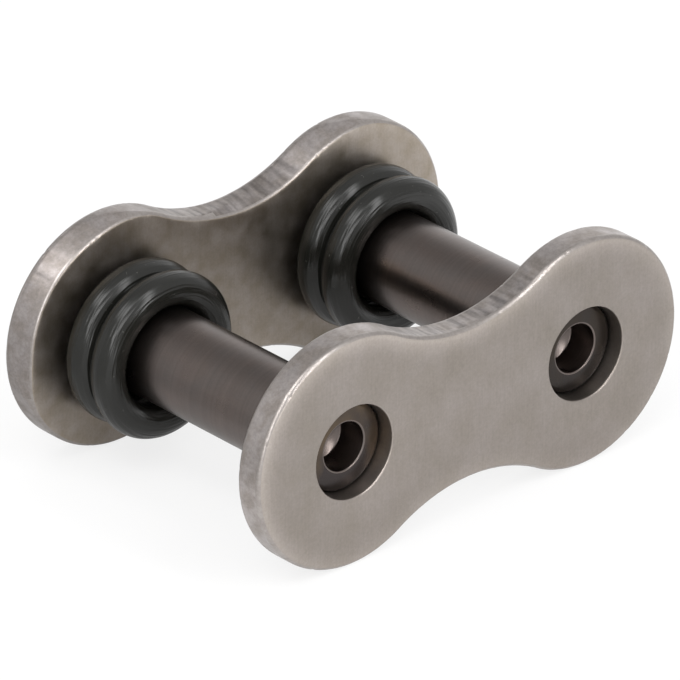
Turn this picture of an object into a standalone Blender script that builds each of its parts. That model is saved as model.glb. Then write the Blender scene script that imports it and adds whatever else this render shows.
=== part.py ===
"""Connecting link of a sealed roller chain, standing on the lower edges of its two plates.

X runs along the pitch and Y along the pins, with the cover plate at -Y. Z is up.
The origin is on the surface that the link stands on, under the middle of its bounding box.
"""

from math import atan2, cos, pi, sin

import bmesh
import bpy

# Plates: two equal punched plates, each a lobe round either pin and a waist between them.
PITCH = 0.015875
LOBE_RADIUS = 0.0064
WAIST_HALF_WIDTH = 0.0043
PLATE_THICKNESS = 0.001736
PLATE_GAP = 0.01619
RIM_ROUNDING = 0.00024
BORE_LIP = 0.00009

# Pins: pressed into the plates, with a hollow front end and a riveted rear head.
PIN_RADIUS = 0.00254
PRESS_CLEARANCE = 0.00002
PIN_END_RECESS = 0.00082
HOLLOW_RADIUS = 0.00133
HOLLOW_DEPTH = 0.0023
HOLLOW_CONE = 0.0006
HOLLOW_EDGE = 0.00005
END_ROUNDING = 0.00036
HEAD_OVERHANG = 0.00035
HEAD_HEIGHT = 0.00045
HEAD_ROUNDING = 0.0002
HEAD_DIMPLE_RADIUS = 0.0012
HEAD_DIMPLE_DEPTH = 0.0003

# Seal rings: round in section, hung on the pins near the rear plate.
RING_SECTION = 0.00182
RING_SLACK = 0.00014
RING_SEAT_CLEARANCE = 0.00004
LEFT_RING_STANDOFF = 0.00036
RIGHT_RING_STANDOFF = 0.00021
RING_SPACING = 0.00006

# Facets: how finely round shapes are drawn.
LOBE_HALF_TURN_STEPS = 30
LOBE_SHOULDER_STEPS = 5
WAIST_STEPS = 12
RIM_STEPS = 3
PIN_FACETS = 48
RING_FACETS = 44
RING_SECTION_STEPS = 20
END_STEPS = 3
HEAD_STEPS = 3
SMOOTH_ANGLE = 0.6
WELD_DISTANCE = 1e-7

# Finishes: colour, metallic and roughness.
PLATE_STEEL = ((0.314, 0.283, 0.262), 1.0, 0.38)
PIN_STEEL = ((0.14, 0.118, 0.108), 1.0, 0.2)
SEAL_RUBBER = ((0.018, 0.019, 0.015), 0.0, 0.42)

# Places that follow from the sizes above.
HALF_PITCH = PITCH / 2
BORE_RADIUS = PIN_RADIUS + PRESS_CLEARANCE
PLATE_OFFSET = (PLATE_GAP + PLATE_THICKNESS) / 2
OUTER_FACE = PLATE_GAP / 2 + PLATE_THICKNESS
HEAD_FACE = OUTER_FACE + PRESS_CLEARANCE + HEAD_HEIGHT
RING_CENTRE_RADIUS = PIN_RADIUS + RING_SLACK + RING_SECTION / 2
RING_DROP = RING_SLACK - RING_SEAT_CLEARANCE


def clear_scene():
    for obj in list(bpy.data.objects):
        bpy.data.objects.remove(obj, do_unlink=True)


def finish(name, colour, metallic, roughness):
    material = bpy.data.materials.new(name)
    material.use_nodes = True
    shader = material.node_tree.nodes["Principled BSDF"]
    shader.inputs["Base Color"].default_value = (*colour, 1.0)
    shader.inputs["Metallic"].default_value = metallic
    shader.inputs["Roughness"].default_value = roughness
    return material


def mesh_from(name, bm):
    """A closed mesh from bm, its faces turned outwards and its round parts shaded smooth."""
    bmesh.ops.remove_doubles(bm, verts=bm.verts, dist=WELD_DISTANCE)
    bmesh.ops.recalc_face_normals(bm, faces=bm.faces)
    mesh = bpy.data.meshes.new(name)
    bm.to_mesh(mesh)
    bm.free()
    mesh.shade_smooth()
    mesh.set_sharp_from_angle(angle=SMOOTH_ANGLE)
    return mesh


def place(name, mesh, material, parent, x=0.0, y=0.0, z=0.0):
    piece = bpy.data.objects.new(name, mesh)
    bpy.context.scene.collection.objects.link(piece)
    piece.parent = parent
    piece.location = (x, y, z)
    piece.data.materials.append(material)
    return piece


def arc(centre, radius, start, end, steps):
    """Points from start towards end, in radians, without the last one."""
    turn = (end - start) / steps
    angles = [start + turn * step for step in range(steps)]
    return [(centre[0] + radius * cos(a), centre[1] + radius * sin(a)) for a in angles]


def quarter_round(radius, steps):
    """(inset, depth) along a rounded edge, from the flat face round to the side."""
    angles = [pi / 2 * step / steps for step in range(steps + 1)]
    return [(radius * (1 - sin(a)), radius * (1 - cos(a))) for a in angles]


def plate_outline(inset):
    """(x, z) points round a plate's edge, moved in by inset, anticlockwise."""
    waist_radius = (HALF_PITCH**2 + WAIST_HALF_WIDTH**2 - LOBE_RADIUS**2) / (
        2 * (LOBE_RADIUS - WAIST_HALF_WIDTH)
    )
    waist_height = WAIST_HALF_WIDTH + waist_radius
    shoulder = atan2(waist_height, -HALF_PITCH)
    waist_start = atan2(-waist_height, HALF_PITCH)
    lobe, waist = LOBE_RADIUS - inset, waist_radius + inset

    half = arc((HALF_PITCH, 0), lobe, -shoulder, -pi / 2, LOBE_SHOULDER_STEPS)
    half += arc((HALF_PITCH, 0), lobe, -pi / 2, pi / 2, LOBE_HALF_TURN_STEPS)
    half += arc((HALF_PITCH, 0), lobe, pi / 2, shoulder, LOBE_SHOULDER_STEPS)
    half += arc((0, waist_height), waist, waist_start, -pi - waist_start, WAIST_STEPS)
    return half + [(-x, -z) for x, z in half]


def bore_outline(x, radius):
    return arc((x, 0), radius, 0, 2 * pi, PIN_FACETS)


def wall(bm, outlines):
    """Quads between outlines, each given as (points, y)."""
    loops = [[bm.verts.new((x, y, z)) for x, z in points] for points, y in outlines]
    for near, far in zip(loops, loops[1:]):
        for i in range(len(near)):
            bm.faces.new((near[i - 1], near[i], far[i], far[i - 1]))


def edge_stations(rounding, steps):
    """(inset, y) down the side of a plate, rounded at both faces."""
    front = [(inset, depth - PLATE_THICKNESS / 2) for inset, depth in quarter_round(rounding, steps)]
    return front + [(inset, -y) for inset, y in reversed(front)]


def plate_mesh(name):
    bm = bmesh.new()
    wall(bm, [(plate_outline(inset), y) for inset, y in edge_stations(RIM_ROUNDING, RIM_STEPS)])
    for x in (-HALF_PITCH, HALF_PITCH):
        lip = edge_stations(BORE_LIP, 1)
        wall(bm, [(bore_outline(x, BORE_RADIUS + inset), y) for inset, y in lip])
    for side in (-1, 1):
        face_y = side * PLATE_THICKNESS / 2
        rims = [
            edge
            for edge in bm.edges
            if edge.is_boundary and all(abs(v.co.y - face_y) < WELD_DISTANCE for v in edge.verts)
        ]
        bmesh.ops.triangle_fill(bm, use_beauty=True, edges=rims, normal=(0, side, 0))
    return mesh_from(name, bm)


def turned_mesh(name, profile, facets, closed=False):
    """The (radius, y) profile turned about Y."""
    bm = bmesh.new()
    points = [bm.verts.new((radius, y, 0)) for radius, y in profile]
    edges = [bm.edges.new(pair) for pair in zip(points, points[1:])]
    if closed:
        edges.append(bm.edges.new((points[-1], points[0])))
    bmesh.ops.spin(
        bm,
        geom=points + edges,
        cent=(0, 0, 0),
        axis=(0, 1, 0),
        angle=2 * pi,
        steps=facets,
        use_merge=True,
    )
    return mesh_from(name, bm)


def pin_profile():
    """From the middle of the front hollow, round the front end and along to the riveted head."""
    end = PIN_END_RECESS - OUTER_FACE
    head_radius = PIN_RADIUS + HEAD_OVERHANG
    head_foot = HEAD_FACE - HEAD_HEIGHT
    hollow = [
        (0, end + HOLLOW_DEPTH),
        (HOLLOW_RADIUS, end + HOLLOW_DEPTH - HOLLOW_CONE),
        (HOLLOW_RADIUS, end + HOLLOW_EDGE),
        (HOLLOW_RADIUS + HOLLOW_EDGE, end),
    ]
    front_round = quarter_round(END_ROUNDING, END_STEPS)
    shank = [(PIN_RADIUS - inset, end + depth) for inset, depth in front_round]
    shank.append((PIN_RADIUS, head_foot))
    head_round = quarter_round(HEAD_ROUNDING, HEAD_STEPS)
    head = [(head_radius, head_foot)]
    head += [(head_radius - inset, HEAD_FACE - depth) for inset, depth in reversed(head_round)]
    dimple = [(HEAD_DIMPLE_RADIUS, HEAD_FACE), (0, HEAD_FACE - HEAD_DIMPLE_DEPTH)]
    return hollow + shank + head + dimple


def ring_profile():
    return arc((RING_CENTRE_RADIUS, 0), RING_SECTION / 2, 0, 2 * pi, RING_SECTION_STEPS)


def add_plates(parent):
    steel = finish("plate_steel", *PLATE_STEEL)
    place("cover_plate", plate_mesh("cover_plate"), steel, parent, y=-PLATE_OFFSET)
    place("pin_link_plate", plate_mesh("pin_link_plate"), steel, parent, y=PLATE_OFFSET)


def add_pins(parent):
    steel = finish("pin_steel", *PIN_STEEL)
    for side, x in (("left", -HALF_PITCH), ("right", HALF_PITCH)):
        mesh = turned_mesh(f"pin_{side}", pin_profile(), PIN_FACETS)
        place(f"pin_{side}", mesh, steel, parent, x=x)


def add_seal_rings(parent):
    rubber = finish("seal_rubber", *SEAL_RUBBER)
    sides = (("left", -HALF_PITCH, LEFT_RING_STANDOFF), ("right", HALF_PITCH, RIGHT_RING_STANDOFF))
    for side, x, standoff in sides:
        rear = PLATE_GAP / 2 - standoff - RING_SECTION / 2
        front = rear - RING_SECTION - RING_SPACING
        for end, y in (("rear", rear), ("front", front)):
            name = f"seal_ring_{side}_{end}"
            mesh = turned_mesh(name, ring_profile(), RING_FACETS, closed=True)
            place(name, mesh, rubber, parent, x=x, y=y, z=-RING_DROP)


def main():
    clear_scene()
    link_centre = bpy.data.objects.new("link_centre", None)
    bpy.context.scene.collection.objects.link(link_centre)
    link_centre.location = (0, (OUTER_FACE - HEAD_FACE) / 2, LOBE_RADIUS)
    add_plates(link_centre)
    add_pins(link_centre)
    add_seal_rings(link_centre)


main()
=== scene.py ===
"""Looks of a chain connecting link: punched and tumbled plates, ground pins and rubber seal rings."""

import random
from math import atan2, cos, hypot, pi, radians, sin

import bmesh
import bpy
from mathutils import Matrix, Quaternion, Vector, noise


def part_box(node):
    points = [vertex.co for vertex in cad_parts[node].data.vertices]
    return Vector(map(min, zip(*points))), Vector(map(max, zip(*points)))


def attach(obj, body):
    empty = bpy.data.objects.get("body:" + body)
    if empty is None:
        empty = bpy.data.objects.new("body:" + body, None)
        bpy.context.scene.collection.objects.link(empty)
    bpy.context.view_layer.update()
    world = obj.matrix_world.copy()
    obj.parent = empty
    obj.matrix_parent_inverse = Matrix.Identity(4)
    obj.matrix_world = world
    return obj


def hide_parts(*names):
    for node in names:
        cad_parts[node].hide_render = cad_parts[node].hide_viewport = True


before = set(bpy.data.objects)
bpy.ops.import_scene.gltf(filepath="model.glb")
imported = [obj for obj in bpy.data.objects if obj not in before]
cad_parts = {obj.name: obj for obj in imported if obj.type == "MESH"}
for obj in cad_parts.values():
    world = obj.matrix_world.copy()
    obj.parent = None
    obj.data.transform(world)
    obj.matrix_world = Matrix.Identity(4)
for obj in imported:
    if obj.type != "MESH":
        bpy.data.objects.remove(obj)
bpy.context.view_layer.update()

# Sizes and places read from the frame, in metres.
COVER_LOW, COVER_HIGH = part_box("cover_plate")
REAR_LOW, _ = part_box("pin_link_plate")
LOBE_RADIUS = (COVER_HIGH.z - COVER_LOW.z) / 2
PIN_HEIGHT = (COVER_HIGH.z + COVER_LOW.z) / 2
HALF_PITCH = (COVER_HIGH.x - COVER_LOW.x) / 2 - LOBE_RADIUS
LINK_CENTRE = Vector((0, (COVER_HIGH.y + REAR_LOW.y) / 2, PIN_HEIGHT))

# Sizes inside the pieces, as in the solids.
WAIST_HALF_WIDTH = 0.0043
RIM_ROUNDING = 0.00024
PIN_RADIUS = 0.00254
BORE_RADIUS = PIN_RADIUS + 0.00002
HOLLOW_RADIUS = 0.00133
HOLLOW_DEPTH = 0.0023
HOLLOW_CONE = 0.0006
END_ROUNDING = 0.00036
HEAD_HEIGHT = 0.00045
HEAD_ROUNDING = 0.0002
HEAD_DIMPLE_RADIUS = 0.0012
HEAD_DIMPLE_DEPTH = 0.0003

# Fine forms that only the looks have: those of both plates.
CROWN_WIDTH = 0.0015
CROWN_DROP = 0.00006
LIP_ROUNDING = 0.00009
RIM_WAVER = 0.000008
RIM_WAVER_PER_METRE = 2600
COVER_NICK_SEED = 3
REAR_NICK_SEED = 5
NICK_COUNT = 46
NICK_DEPTH = 0.000022
NICK_RADIUS = (0.00008, 0.00022)
NICK_STRENGTH = (0.3, 1.0)

# The slant of the rear plate's front rim, full on a high edge that faces left: its size,
# and its share of a rim from the height above the pins and from how far the edge leans right.
SLANT_WIDTH = 0.00043
SLANT_HEIGHT = 0.00125
SLANT_CORNER = 0.00015
SLANT_FOOT = 0.0001
SLANT_AT_PIN_HEIGHT = 0.9
SLANT_RISE = 0.0036
SLANT_ON_LEVEL_EDGE = 0.5
SLANT_PER_LEAN = 1.3

# Those of the pins and rings.
END_SLOPE = 0.00005
END_FACE_SHARE = 0.99
HOLLOW_LIP = 0.0001
HOLLOW_FLOOR_FILLET = 0.00008
HEAD_FOOT_FILLET = 0.00003
HEAD_DIMPLE_FILLET = 0.00015
RING_WAVER = 0.000012
RING_WAVER_TURNS = 1.7
RING_WAVER_PER_METRE = 300
RING_WAVER_SHIFT_PER_METRE = 900
LEFT_FRONT_RING_SAG = 0.00017

# How finely round shapes are drawn.
LOBE_STEPS = 420
WAIST_STEPS = 160
RIM_STEPS = 9
CROWN_STEPS = 6
SIDE_STEPS = 6
LIP_STEPS = 3
TURNED_STEPS = 168
FILLET_STEPS = 5
SLANT_STEPS = (5, 3)
RING_STEPS = 216
RING_SECTION_STEPS = 72
SMOOTH_ANGLE = 0.55
WELD_DISTANCE = 1e-8

# Heat tint on the pins' ends, with a painted highlight near the top: where the straw peaks, in
# radians, and by how much.
PAINTED_HIGHLIGHT_ANGLE = 1.5
PAINTED_HIGHLIGHT_GAIN = 0.22

# The camera, found from the outlines of both plates.
CAMERA_AZIMUTH = radians(-41.871)
CAMERA_ELEVATION = radians(27.472)
CAMERA_ROLL = radians(-0.135)
CAMERA_DISTANCE = 0.514
CAMERA_RIGHT = -0.000081
CAMERA_UP = -0.000187
SENSOR_WIDTH = 36.0
LENS = 531.6

# Lamps: azimuth, elevation and lean in degrees, width and height in metres, and radiance.
LAMP_DISTANCE = 0.6
LAMPS = {
    "right_strip": (9, 29, 5, (0.12, 0.8), 6.5),
    "left_strip": (-54, 30, -14, (0.17, 0.72), 4.2),
    "upper_left": (-78, 63, -8, (0.46, 0.18), 3.2),
}

# The room's level, and patches in it: azimuth, elevation and reach in degrees, and gain.
ROOM_LEVEL = 0.8
ROOM_PATCHES = ((131, 3, 40, 0.46), (175, 49, 36, -0.28))

# The floor is lit paper with a share of emission mixed in, which is white to the camera.
# In reflections it fades to black towards the rear left as painted shade, over the stretch given here.
FLOOR_HALF_SIZE = 3.0
PAPER = (0.9, 0.9, 0.9, 1)
WHITE = (1, 1, 1, 1)
EMISSION_TO_CAMERA = 0.78
EMISSION_IN_REFLECTIONS = (0.25, 0.42)
REAR_LEFT = Vector((-0.64, 0.77, 0))
PAINTED_SHADE_STRETCH = (0.004, 0.022)


def direction(azimuth, elevation):
    """Unit vector from the link, where azimuth 0 is the cover plate's side (-Y) and 90 is +X."""
    return Vector(
        (sin(azimuth) * cos(elevation), -cos(azimuth) * cos(elevation), sin(elevation))
    )


# Meshes


def arc(centre, radius, start, end, steps):
    """Points from start towards end, in radians, without the last one."""
    turn = (end - start) / steps
    angles = [start + turn * step for step in range(steps)]
    return [(centre[0] + radius * cos(a), centre[1] + radius * sin(a)) for a in angles]


def quarter_round(radius, steps):
    """(inset, depth) along a rounded edge, from the flat face round to the side."""
    angles = [pi / 2 * step / steps for step in range(steps + 1)]
    return [(radius * (1 - sin(a)), radius * (1 - cos(a))) for a in angles]


def plate_outline(inset):
    """(x, z) points round a plate's edge, moved in by inset, about the pins' height."""
    waist_radius = (HALF_PITCH**2 + WAIST_HALF_WIDTH**2 - LOBE_RADIUS**2) / (
        2 * (LOBE_RADIUS - WAIST_HALF_WIDTH)
    )
    waist_height = WAIST_HALF_WIDTH + waist_radius
    shoulder = atan2(waist_height, -HALF_PITCH)
    waist_start = atan2(-waist_height, HALF_PITCH)
    half = arc((HALF_PITCH, 0), LOBE_RADIUS - inset, -shoulder, shoulder, LOBE_STEPS)
    half += arc((0, waist_height), waist_radius + inset, waist_start, -pi - waist_start, WAIST_STEPS)
    return half + [(-x, -z) for x, z in half]


def run_along(points):
    """The distance along a closed outline at each point."""
    runs = [0.0]
    for (x0, z0), (x1, z1) in zip(points, points[1:]):
        runs.append(runs[-1] + hypot(x1 - x0, z1 - z0))
    return runs


def bend(start, corner, end, steps):
    """Points from start to end along a curve that a corner pulls towards itself."""
    shares = [step / steps for step in range(steps + 1)]
    return [start * (1 - t) ** 2 + corner * 2 * t * (1 - t) + end * t**2 for t in shares]


def slanted_round():
    """(inset, depth) down a slanted edge, with a tight corner at the flat face."""
    corner = Vector((SLANT_WIDTH, 0))
    foot = Vector((0, SLANT_HEIGHT))
    way = (foot - corner).normalized()
    corner_steps, foot_steps = SLANT_STEPS
    start, last = corner + Vector((SLANT_CORNER, 0)), foot + Vector((0, SLANT_FOOT))
    stations = bend(start, corner, corner + way * SLANT_CORNER, corner_steps)
    stations += bend(foot - way * SLANT_FOOT, foot, last, foot_steps)
    return [tuple(station) for station in stations]


def crowned_rim(edge):
    """(inset, depth) from the flat face over its worn margin and down the edge."""
    run = edge[0][0] - CROWN_WIDTH
    margin = [(CROWN_WIDTH + run * step / CROWN_STEPS, 0.0) for step in range(CROWN_STEPS)]
    return [
        (inset, depth + CROWN_DROP * (1 - inset / CROWN_WIDTH) ** 2)
        for inset, depth in margin + edge
    ]


def through_stations(near_edge, far_edge, thickness):
    """(inset, depth) from the face with near_edge to the one with far_edge."""
    first, last = near_edge[-1][1], thickness - far_edge[-1][1]
    side = [(0.0, first + (last - first) * step / SIDE_STEPS) for step in range(1, SIDE_STEPS)]
    return near_edge + side + [(inset, thickness - depth) for inset, depth in reversed(far_edge)]


def slant_share(z, lean):
    """1 where an edge is high and faces left (-X), for a height above the pins and a normal's x."""
    by_height = SLANT_AT_PIN_HEIGHT + z / SLANT_RISE
    by_lean = SLANT_ON_LEVEL_EDGE - SLANT_PER_LEAN * lean
    share = max(0.0, min(1.0, by_height, by_lean))
    return share * share * (3 - 2 * share)


def wall(bm, loops, uv, runs, levels=None):
    """Quads between loops of points. Their UVs are the run along a loop and its level, or else y."""
    rings = [[bm.verts.new(point) for point in loop] for loop in loops]
    count = len(rings[0])
    for level, (near, far) in enumerate(zip(rings, rings[1:])):
        for i in range(count):
            before = i - 1 if i else count - 1
            face = bm.faces.new((near[before], near[i], far[i], far[before]))
            face.smooth = True
            start = runs[before] if i else runs[0] - (runs[1] - runs[0])
            corners = ((start, level), (runs[i], level), (runs[i], level + 1), (start, level + 1))
            for corner, (run, at) in zip(face.loops, corners):
                corner[uv].uv = (run, levels[at] if levels else corner.vert.co.y)
    return rings


def flat_cap(bm, y, facing):
    """Fills the face at y between its outline and its bores."""
    rims = [
        edge
        for edge in bm.edges
        if edge.is_boundary and all(abs(v.co.y - y) < WELD_DISTANCE for v in edge.verts)
    ]
    made = bmesh.ops.triangle_fill(bm, use_beauty=True, edges=rims, normal=(0, facing, 0))
    for item in made["geom"]:
        if isinstance(item, bmesh.types.BMFace):
            item.smooth = False


def nicked(bm, rings, seed):
    """Wavers a rim a few micrometres and presses small nicks into it."""
    rng = random.Random(seed)
    rim = [vert for ring in rings for vert in ring]
    nicks = []
    for _ in range(NICK_COUNT):
        place = rng.choice(rim).co.copy()
        nicks.append((place, rng.uniform(*NICK_RADIUS), rng.uniform(*NICK_STRENGTH)))
    moves = []
    for vert in rim:
        push = RIM_WAVER * (0.5 + 0.5 * noise.noise(vert.co * RIM_WAVER_PER_METRE))
        for place, radius, share in nicks:
            near = (vert.co - place).length / radius
            if near < 1:
                push += NICK_DEPTH * share * (1 - near * near) ** 2
        moves.append((vert, vert.normal * push))
    for vert, move in moves:
        vert.co -= move


def new_object(name, data):
    """An object in the scene."""
    made = bpy.data.objects.new(name, data)
    bpy.context.scene.collection.objects.link(made)
    return made


def new_piece(name, bm, materials, cad_node):
    """An object that dresses cad_node, with bm's mesh and its materials in their order."""
    bmesh.ops.remove_doubles(bm, verts=bm.verts, dist=WELD_DISTANCE)
    mesh = bpy.data.meshes.new(name)
    bm.to_mesh(mesh)
    bm.free()
    mesh.set_sharp_from_angle(angle=SMOOTH_ANGLE)
    piece = new_object(name, mesh)
    for material in materials:
        mesh.materials.append(material)
    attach(piece, "root")
    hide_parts(cad_node)


def plate_sides(front_y, plain, other):
    """Loops down a plate's edge, whose stations pass from plain to other where the edge slants."""
    outer, inner = plate_outline(0), plate_outline(CROWN_WIDTH)
    shares = [slant_share(z, (x - x_in) / CROWN_WIDTH) for (x, z), (x_in, _) in zip(outer, inner)]
    loops = []
    for (plain_inset, plain_depth), (other_inset, other_depth) in zip(plain, other):
        starts = [Vector((*point, plain_depth)) for point in plate_outline(plain_inset)]
        ends = [Vector((*point, other_depth)) for point in plate_outline(other_inset)]
        mixed = [start.lerp(end, share) for start, end, share in zip(starts, ends, shares)]
        loops.append([(x, front_y + depth, PIN_HEIGHT + z) for x, z, depth in mixed])
    return loops


def add_bore(bm, uv, x, front_y, thickness):
    """The wall of a bore through a plate, with a small lip at both faces."""
    lip = quarter_round(LIP_ROUNDING, LIP_STEPS)
    loops, runs = [], None
    for inset, depth in through_stations(lip, lip, thickness):
        points = arc((x, 0), BORE_RADIUS + inset, 0, 2 * pi, TURNED_STEPS)
        runs = runs or run_along(points)
        loops.append([(px, front_y + depth, PIN_HEIGHT + pz) for px, pz in points])
    wall(bm, loops, uv, runs)


def add_plate(name, cad_node, seed, slanted_rim, steels):
    """A plate with slanted_rim in front where its edge slants, and steels for face, side and rims."""
    low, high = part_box(cad_node)
    thickness = high.y - low.y
    bm = bmesh.new()
    uv = bm.loops.layers.uv.new("run_and_depth")
    edge = crowned_rim(quarter_round(RIM_ROUNDING, RIM_STEPS))
    plain = through_stations(edge, edge, thickness)
    slanted = through_stations(crowned_rim(slanted_rim), edge, thickness)
    rings = wall(bm, plate_sides(low.y, plain, slanted), uv, run_along(plate_outline(0)))
    for face in bm.faces:
        y = face.calc_center_median().y
        depth = min(y - low.y, high.y - y)
        if depth > CROWN_DROP:
            face.material_index = 1 if depth > CROWN_DROP + RIM_ROUNDING else 2
    for x in (-HALF_PITCH, HALF_PITCH):
        add_bore(bm, uv, x, low.y, thickness)
    flat_cap(bm, low.y, -1)
    flat_cap(bm, high.y, 1)
    bmesh.ops.recalc_face_normals(bm, faces=bm.faces)
    bm.normal_update()
    nicked(bm, rings[CROWN_STEPS : len(edge)], seed)
    nicked(bm, rings[-len(edge) : -CROWN_STEPS], seed + 1)
    new_piece(name, bm, steels, cad_node)


def rounded_profile(corners):
    """(radius, y) points along a turned profile, where a corner is (radius, y, fillet)."""
    points = []
    for index, (radius, y, fillet) in enumerate(corners):
        here = Vector((radius, y))
        if not fillet or index in (0, len(corners) - 1):
            points.append(here)
            continue
        back = (Vector(corners[index - 1][:2]) - here).normalized()
        ahead = (Vector(corners[index + 1][:2]) - here).normalized()
        points += bend(here + back * fillet, here, here + ahead * fillet, FILLET_STEPS)
    return points


def pin_profile(front, rear, head_radius):
    """From the middle of the front hollow, over the shank and round the riveted head."""
    foot = rear - HEAD_HEIGHT
    cone_foot = front + HOLLOW_DEPTH - HOLLOW_CONE
    return rounded_profile(
        [
            (0, front + HOLLOW_DEPTH, 0),
            (HOLLOW_RADIUS, cone_foot, HOLLOW_FLOOR_FILLET),
            (HOLLOW_RADIUS, front, HOLLOW_LIP),
            (PIN_RADIUS, front + END_SLOPE, END_ROUNDING),
            (PIN_RADIUS, foot, 0),
            (head_radius, foot, HEAD_FOOT_FILLET),
            (head_radius, rear, HEAD_ROUNDING),
            (HEAD_DIMPLE_RADIUS, rear, HEAD_DIMPLE_FILLET),
            (0, rear - HEAD_DIMPLE_DEPTH, 0),
        ]
    )


def turned(bm, profile, x, z, steps, waver=0.0, sag=0.0):
    """The (radius, y) profile turned about Y through x and z, wavering, its lower half sagging."""
    uv = bm.loops.layers.uv.new("run_and_depth")
    shift = Vector((x * RING_WAVER_SHIFT_PER_METRE, 0, 0))
    rings = []
    for radius, y in profile:
        ring = []
        for step in range(steps):
            angle = 2 * pi * step / steps
            place = Vector((cos(angle), y * RING_WAVER_PER_METRE, sin(angle)))
            reach = radius + waver * (noise.noise(place * RING_WAVER_TURNS + shift) - 0.5)
            drop = sag * max(0.0, -sin(angle)) ** 2
            ring.append((x + reach * cos(angle), y, z + reach * sin(angle) - drop))
        rings.append(ring)
    runs = [2 * pi * step / steps for step in range(steps)]
    wall(bm, rings, uv, runs, run_along(profile))
    bmesh.ops.remove_doubles(bm, verts=bm.verts, dist=WELD_DISTANCE)
    bmesh.ops.dissolve_degenerate(bm, dist=WELD_DISTANCE, edges=bm.edges)
    bmesh.ops.recalc_face_normals(bm, faces=bm.faces)


def add_pin(name, cad_node, shank_steel, end_steel):
    """A pin, with end_steel on the flat ring round its hollow."""
    low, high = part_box(cad_node)
    x = (low.x + high.x) / 2
    bm = bmesh.new()
    turned(bm, pin_profile(low.y, high.y, (high.z - low.z) / 2), x, PIN_HEIGHT, TURNED_STEPS)
    for face in bm.faces:
        middle = face.calc_center_median()
        off_axis = hypot(middle.x - x, middle.z - PIN_HEIGHT)
        if HOLLOW_RADIUS + HOLLOW_LIP < off_axis < PIN_RADIUS * END_FACE_SHARE and middle.y < 0:
            face.material_index = 1
    new_piece(name, bm, (shank_steel, end_steel), cad_node)


def ring_profile(centre_radius, y, section):
    """A round section, closed on its first point."""
    points = arc((centre_radius, y), section / 2, 0, 2 * pi, RING_SECTION_STEPS)
    return points + points[:1]


def add_seal_ring(name, cad_node, rubber, sag=0.0):
    low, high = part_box(cad_node)
    section = high.y - low.y
    outer_radius = (high.z - low.z) / 2
    bm = bmesh.new()
    profile = ring_profile(outer_radius - section / 2 - RING_WAVER, (low.y + high.y) / 2, section)
    turned(bm, profile, (low.x + high.x) / 2, (low.z + high.z) / 2, RING_STEPS, RING_WAVER, sag)
    new_piece(name, bm, (rubber,), cad_node)


# Materials


def feed(tree, socket, value):
    """Links an input to the socket that value is, or sets it to a number, vector or colour."""
    if isinstance(value, bpy.types.NodeSocket):
        tree.links.new(value, socket)
    else:
        socket.default_value = value


def node(tree, kind, **values):
    """A new shader node. Its settings and inputs go by name, and _0 is its first input."""
    made = tree.nodes.new(kind)
    for name, value in values.items():
        if hasattr(made, name) and name not in made.inputs:
            setattr(made, name, value)
        else:
            key = int(name[1:]) if name[1:].isdigit() else name.replace("_", " ")
            feed(tree, made.inputs[key], value)
    return made


def new_material(name):
    """A material with its node tree."""
    material = bpy.data.materials.new(name)
    material.use_nodes = True
    return material, material.node_tree


def principled(tree, **values):
    """Feeds the inputs of the tree's main shader."""
    shader = tree.nodes["Principled BSDF"]
    for name, value in values.items():
        feed(tree, shader.inputs[name.replace("_", " ")], value)


def position(tree, scale=(1, 1, 1), output="Object"):
    """Coordinates stretched by scale, so that a noise of scale 1 has features of about one unit."""
    source = node(tree, "ShaderNodeTexCoord").outputs[output]
    return node(tree, "ShaderNodeMapping", Vector=source, Scale=scale).outputs[0]


def grain(tree, scale, detail=2.0, output="Object", roughness=0.5):
    """Noise from 0 to 1 whose features are 1 / scale long on each axis."""
    spot = position(tree, scale, output)
    made = node(
        tree, "ShaderNodeTexNoise", Vector=spot, Scale=1.0, Detail=detail, Roughness=roughness
    )
    return made.outputs[0]


def spread(tree, value, low, high, from_low=0.3, from_high=0.7):
    """value mapped to low and high from a range, which is the middle of a noise's unless given."""
    made = node(
        tree,
        "ShaderNodeMapRange",
        Value=value,
        From_Min=from_low,
        From_Max=from_high,
        To_Min=low,
        To_Max=high,
    )
    return made.outputs[0]


def combine(tree, operation, a, b=0.0):
    """The result of a maths node on two values, or on one where its operation takes one."""
    return node(tree, "ShaderNodeMath", operation=operation, _0=a, _1=b).outputs[0]


def product(tree, a, b):
    return combine(tree, "MULTIPLY", a, b)


def faded(tree, noise_value, share):
    """Noise about its middle, 0.5, made fainter by share."""
    about_zero = combine(tree, "SUBTRACT", noise_value, 0.5)
    return combine(tree, "ADD", product(tree, about_zero, share), 0.5)


def toward(tree, vector, way, low, high, from_low, from_high):
    """How far vector reaches along way, mapped from that range to low and high."""
    reach = node(tree, "ShaderNodeVectorMath", operation="DOT_PRODUCT", _0=vector, _1=way)
    return spread(tree, reach.outputs["Value"], low, high, from_low, from_high)


def tint(tree, colour_a, colour_b, share):
    """The colour that lies by share, from 0 to 1, between colour_a and colour_b."""
    ends = {"_6": (*colour_a, 1), "_7": (*colour_b, 1)}
    return node(tree, "ShaderNodeMix", data_type="RGBA", _0=share, **ends).outputs[2]


def shaded(tree, colour, amount):
    """colour times the grey amount."""
    made = node(tree, "ShaderNodeVectorMath", operation="MULTIPLY", _0=colour, _1=amount)
    return made.outputs[0]


def bump(tree, height, distance, **normal):
    """A surface normal that height tilts, on top of Normal where that is given."""
    return node(tree, "ShaderNodeBump", Height=height, Distance=distance, **normal).outputs[0]


def steel(tree, colour, level, roughness, normal):
    """Bare metal of that colour times level."""
    colour = shaded(tree, colour, level)
    principled(tree, Base_Color=colour, Roughness=roughness, Normal=normal, Metallic=1.0)


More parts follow.
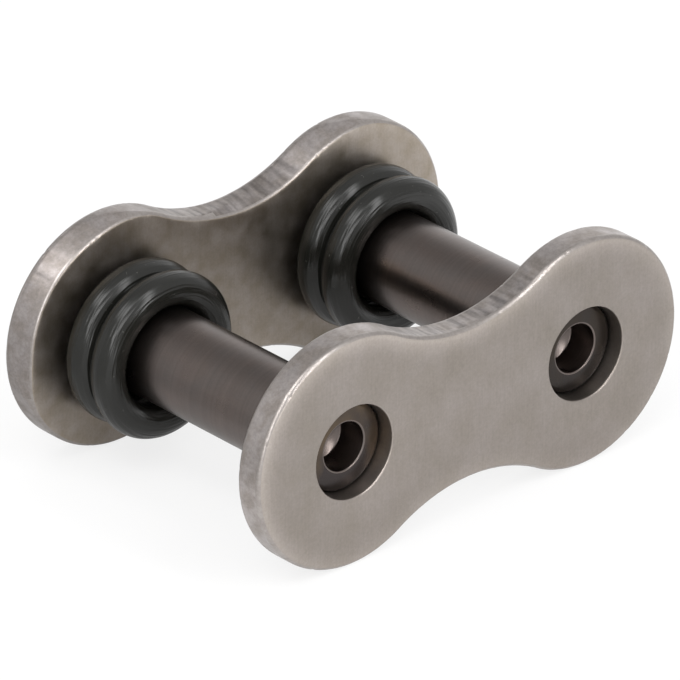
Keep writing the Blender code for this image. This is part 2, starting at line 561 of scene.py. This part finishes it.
def plate_face_steel(name, cad_node, cool, warm, stain_size, roughness, wear_and_sheen, painted_light_left=1.0):
    """Satin steel with fine pits, faint upright scratches and stains in front, a worn margin that is
    lighter, more so towards the upper left as a painted highlight, and painted light that makes one
    end lighter than the other.
    """
    material, tree = new_material(name)
    low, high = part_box(cad_node)
    middle, half = (low.y + high.y) / 2, (high.y - low.y) / 2
    along, through, _ = node(tree, "ShaderNodeSeparateXYZ", Vector=position(tree)).outputs
    in_front = spread(tree, through, 1.0, 0.0, middle, middle + half / 4)
    stain = faded(tree, grain(tree, (1 / stain_size,) * 3, 4.0), in_front)
    speckle = grain(tree, (7500, 7500, 7500), 3.0, roughness=0.65)
    scratches = grain(tree, (9000, 2000, 500), 2.0)
    fine_levels = spread(tree, speckle, 0.93, 1.07), spread(tree, scratches, 0.97, 1.03)
    # Painted light: the face is lighter at the left end and darker at the right.
    paler = spread(tree, along, painted_light_left, 2 - painted_light_left, -HALF_PITCH, HALF_PITCH)
    level = product(tree, product(tree, *fine_levels), paler)
    # The worn margin is lighter, and more so towards the upper left as a painted highlight.
    off_middle = combine(tree, "ABSOLUTE", combine(tree, "SUBTRACT", through, middle))
    margin = spread(tree, off_middle, wear_and_sheen, 0.0, half - CROWN_DROP * 0.7, half)
    up_left = Vector((-0.3, 0, 1))
    height = toward(tree, position(tree), up_left, 0.5, 1.5, low.z, high.z)
    level = product(tree, level, combine(tree, "ADD", product(tree, margin, height), 1.0))
    fine = bump(tree, speckle, 0.0000022)
    steel(
        tree,
        tint(tree, cool, warm, spread(tree, stain, 0.0, 1.0)),
        level,
        spread(tree, stain, *roughness),
        bump(tree, scratches, 0.0000012, Normal=fine),
    )
    return material


def plate_edge_steel(name, cool, warm):
    """The punched side of a plate: mottled, with slanting shear marks left in the waist."""
    material, tree = new_material(name)
    along_edge = node(
        tree,
        "ShaderNodeMapping",
        Vector=node(tree, "ShaderNodeTexCoord").outputs["UV"],
        Rotation=(0, 0, radians(-32)),
        Scale=(2600, 420, 1),
    ).outputs[0]
    marks = node(tree, "ShaderNodeTexNoise", Vector=along_edge, Scale=1.0, Detail=1.5).outputs[0]
    across = node(tree, "ShaderNodeSeparateXYZ", Vector=position(tree)).outputs[0]
    in_waist = spread(tree, combine(tree, "ABSOLUTE", across), 1.0, 0.12, 0.0035, 0.006)
    marks = faded(tree, marks, in_waist)
    speckle = grain(tree, (5200, 5200, 5200), 4.0, roughness=0.7)
    stain = grain(tree, (1000, 1000, 1000), 4.0)
    level = product(tree, spread(tree, speckle, 0.84, 1.14), spread(tree, marks, 0.7, 1.34))
    level = product(tree, level, spread(tree, in_waist, 1.0, 0.84, 0.12, 1.0))
    fine = bump(tree, speckle, 0.000003)
    steel(
        tree,
        tint(tree, cool, warm, spread(tree, stain, 0.0, 1.0, 0.38, 0.62)),
        level,
        spread(tree, stain, 0.32, 0.46),
        bump(tree, marks, 0.000022, Normal=fine),
    )
    return material


def burnished_rim_steel(name, bright, dull):
    """The rounded rim of a plate, burnished by tumbling and broken by dull patches."""
    material, tree = new_material(name)
    patches = grain(tree, (1500, 1500, 1500), 4.0, roughness=0.6)
    speckle = grain(tree, (7000, 7000, 7000), 2.0)
    steel(
        tree,
        tint(tree, dull, bright, spread(tree, patches, 0.0, 1.0)),
        spread(tree, speckle, 0.92, 1.06),
        spread(tree, patches, 0.44, 0.28),
        bump(tree, speckle, 0.000002),
    )
    return material


def ground_pin_steel(name, brown, grey):
    """Dark glossy steel with faint grinding lines round the pin."""
    material, tree = new_material(name)
    stain = grain(tree, (700, 500, 700), 3.0)
    lines = grain(tree, (150, 7000, 150), 1.0)
    speckle = grain(tree, (8000, 8000, 8000), 2.0)
    steel(
        tree,
        tint(tree, brown, grey, spread(tree, stain, 0.0, 1.0)),
        product(tree, spread(tree, speckle, 0.97, 1.03), spread(tree, lines, 0.95, 1.05)),
        spread(tree, stain, 0.27, 0.3),
        bump(tree, lines, 0.0000008),
    )
    return material


def pin_end_steel(name, straw, violet):
    """The flat ring at a pin's front end, tinted by heat in straw and violet, with straw pulled
    towards its top as a painted highlight.
    """
    material, tree = new_material(name)
    stain = grain(tree, (600, 600, 450), 2.0)
    speckle = grain(tree, (9000, 9000, 9000), 2.0)
    angle = node(tree, "ShaderNodeSeparateXYZ", Vector=position(tree, output="UV")).outputs[0]
    # Painted highlight: the tint turns to straw towards the top of the end.
    painted_top_highlight = combine(tree, "COSINE", combine(tree, "SUBTRACT", angle, PAINTED_HIGHLIGHT_ANGLE))
    stain = combine(tree, "ADD", stain, product(tree, painted_top_highlight, PAINTED_HIGHLIGHT_GAIN))
    steel(
        tree,
        tint(tree, violet, straw, spread(tree, stain, 0.0, 1.0, 0.34, 0.74)),
        spread(tree, speckle, 0.96, 1.04),
        spread(tree, stain, 0.26, 0.32),
        bump(tree, speckle, 0.0000006),
    )
    return material


def seal_rubber(name, colour, dusty):
    """Black rubber with a film of grease, fine moulding lines round the ring and specks of dust."""
    material, tree = new_material(name)
    film = grain(tree, (900, 900, 900), 3.0)
    lines = grain(tree, (1.2, 5500, 1), 2.0, "UV")
    speckle = grain(tree, (9000, 9000, 9000), 2.0)
    specks = spread(tree, grain(tree, (5200, 5200, 5200), 1.0), 0.0, 1.0, 0.74, 0.8)
    fine = bump(tree, speckle, 0.0000012)
    principled(
        tree,
        Base_Color=tint(tree, colour, dusty, specks),
        Roughness=spread(tree, film, 0.17, 0.25),
        Normal=bump(tree, lines, 0.00006, Normal=fine),
        Specular_IOR_Level=0.42,
    )
    return material


# Stage


def mixed_shaders(tree, share, first, second):
    """The socket of a shader that goes from first to second by share."""
    sockets = {"_1": first.outputs[0], "_2": second.outputs[0]}
    return node(tree, "ShaderNodeMixShader", _0=share, **sockets).outputs[0]


def floor_material(name):
    """Paper mixed with emission, by what kind of ray meets it, with painted shade towards the rear
    left in reflections.
    """
    material, tree = new_material(name)
    tree.nodes.clear()
    rays = node(tree, "ShaderNodeLightPath").outputs
    camera_ray, glossy_ray = rays["Is Camera Ray"], rays["Is Glossy Ray"]
    # Painted shade: in reflections the floor darkens towards the rear left.
    painted_shade_fade = toward(tree, position(tree), REAR_LEFT, 1.0, 0.0, *PAINTED_SHADE_STRETCH)
    mirrored = toward(tree, position(tree), REAR_LEFT, *EMISSION_IN_REFLECTIONS, *PAINTED_SHADE_STRETCH)
    to_camera = product(tree, camera_ray, EMISSION_TO_CAMERA)
    share = combine(tree, "MAXIMUM", to_camera, product(tree, glossy_ray, mirrored))
    strength = combine(tree, "MAXIMUM", camera_ray, painted_shade_fade)
    paper = node(tree, "ShaderNodeBsdfDiffuse", Color=PAPER)
    emission = node(tree, "ShaderNodeEmission", Color=WHITE, Strength=strength)
    both = mixed_shaders(tree, share, paper, emission)
    node(tree, "ShaderNodeOutputMaterial", Surface=both)
    return material


def add_floor():
    bm = bmesh.new()
    sides = ((-1, -1), (1, -1), (1, 1), (-1, 1))
    corners = [Vector((x, y, 0)) * FLOOR_HALF_SIZE for x, y in sides]
    bm.faces.new([bm.verts.new(corner) for corner in corners])
    mesh = bpy.data.meshes.new("floor")
    bm.to_mesh(mesh)
    bm.free()
    floor = new_object("floor", mesh)
    mesh.materials.append(floor_material("pale_floor"))


def add_softbox(name, azimuth, elevation, lean, size, radiance):
    """A flat lamp that faces the link. Its top leans towards a larger azimuth by lean degrees."""
    data = bpy.data.lights.new(name, "AREA")
    data.shape = "RECTANGLE"
    data.size, data.size_y = size
    data.energy = radiance * pi * size[0] * size[1]
    lamp = new_object(name, data)
    away = direction(radians(azimuth), radians(elevation))
    lamp.location = LINK_CENTRE + away * LAMP_DISTANCE
    lamp.rotation_mode = "QUATERNION"
    lamp.rotation_quaternion = away.to_track_quat("Z", "Y") @ Quaternion((0, 0, 1), radians(-lean))


def add_world():
    """The room's light, and a plain white backdrop that only the camera sees."""
    world = bpy.data.worlds.new("studio")
    world.use_nodes = True
    tree = world.node_tree
    tree.nodes.clear()
    ray = node(tree, "ShaderNodeTexCoord").outputs["Generated"]
    level = ROOM_LEVEL
    for azimuth, elevation, reach, gain in ROOM_PATCHES:
        way = direction(radians(azimuth), radians(elevation))
        patch = toward(tree, ray, way, 0.0, gain, cos(radians(reach)), 1.0)
        level = combine(tree, "ADD", patch, level)
    room = node(tree, "ShaderNodeBackground", Color=WHITE, Strength=level)
    backdrop = node(tree, "ShaderNodeBackground", Color=WHITE, Strength=1.0)
    camera_ray = node(tree, "ShaderNodeLightPath").outputs["Is Camera Ray"]
    seen = mixed_shaders(tree, camera_ray, room, backdrop)
    node(tree, "ShaderNodeOutputWorld", Surface=seen)
    bpy.context.scene.world = world


def add_camera():
    back = direction(CAMERA_AZIMUTH, CAMERA_ELEVATION)
    right = Vector((cos(CAMERA_AZIMUTH), sin(CAMERA_AZIMUTH), 0))
    up = back.cross(right)
    c, s = cos(CAMERA_ROLL), sin(CAMERA_ROLL)
    right, up = c * right + s * up, -s * right + c * up
    data = bpy.data.cameras.new("camera")
    data.lens, data.sensor_width = LENS, SENSOR_WIDTH
    camera = new_object("camera", data)
    turn = Matrix((right, up, back)).transposed().to_4x4()
    spot = LINK_CENTRE + right * CAMERA_RIGHT + up * CAMERA_UP + back * CAMERA_DISTANCE
    camera.matrix_world = Matrix.Translation(spot) @ turn
    bpy.context.scene.camera = camera


def main():
    add_camera()
    add_world()
    add_floor()
    for name, lamp in LAMPS.items():
        add_softbox(name, *lamp)

    cover_face = plate_face_steel(
        "tumbled_face",
        "cover_plate",
        cool=(0.296, 0.265, 0.245),
        warm=(0.26, 0.232, 0.206),
        stain_size=0.0024,
        roughness=(0.34, 0.42),
        wear_and_sheen=0.3,
        painted_light_left=1.03,
    )
    # Rear plate's inner face: real mottled stains, with colours lifted above the cover's as painted
    # light from between the plates.
    rear_face_painted_light = plate_face_steel(
        "stained_face_painted_light",
        "pin_link_plate",
        cool=(0.37, 0.328, 0.292),
        warm=(0.275, 0.236, 0.19),
        stain_size=0.0011,
        roughness=(0.44, 0.36),
        wear_and_sheen=0.1,
    )
    cover_edge = plate_edge_steel("punched_edge_front", (0.418, 0.382, 0.371), (0.33, 0.295, 0.273))
    rear_edge = plate_edge_steel("punched_edge_rear", (0.369, 0.337, 0.327), (0.291, 0.26, 0.241))
    pin_steel = ground_pin_steel("ground_pin", (0.15, 0.123, 0.112), (0.138, 0.12, 0.113))
    # The left end's straw colour is lighter as a painted highlight; the right end's colours are
    # darker.
    end_steels = {
        "left": pin_end_steel("straw_end_painted_highlight", (0.12, 0.088, 0.058), (0.05, 0.043, 0.042)),
        "right": pin_end_steel("darker_end", (0.046, 0.037, 0.03), (0.042, 0.037, 0.035)),
    }
    rubber = seal_rubber("seal_ring_rubber", (0.009, 0.009, 0.0075), (0.055, 0.055, 0.05))
    rim = burnished_rim_steel("burnished_rim", (0.4, 0.368, 0.35), (0.32, 0.29, 0.272))
    plain_rim = quarter_round(RIM_ROUNDING, RIM_STEPS)
    cover_steels, rear_steels = (cover_face, cover_edge, rim), (rear_face_painted_light, rear_edge, rim)
    slanted_rim = slanted_round()
    add_plate("cover_plate_punched", "cover_plate", COVER_NICK_SEED, plain_rim, cover_steels)
    add_plate("rear_plate_punched", "pin_link_plate", REAR_NICK_SEED, slanted_rim, rear_steels)
    for side in ("left", "right"):
        add_pin(f"{side}_pin_ground", f"pin_{side}", pin_steel, end_steels[side])
        for end in ("front", "rear"):
            sag = LEFT_FRONT_RING_SAG if (side, end) == ("left", "front") else 0.0
            add_seal_ring(f"{side}_{end}_ring_moulded", f"seal_ring_{side}_{end}", rubber, sag)

    view = bpy.context.scene.view_settings
    view.view_transform = "Standard"


main()
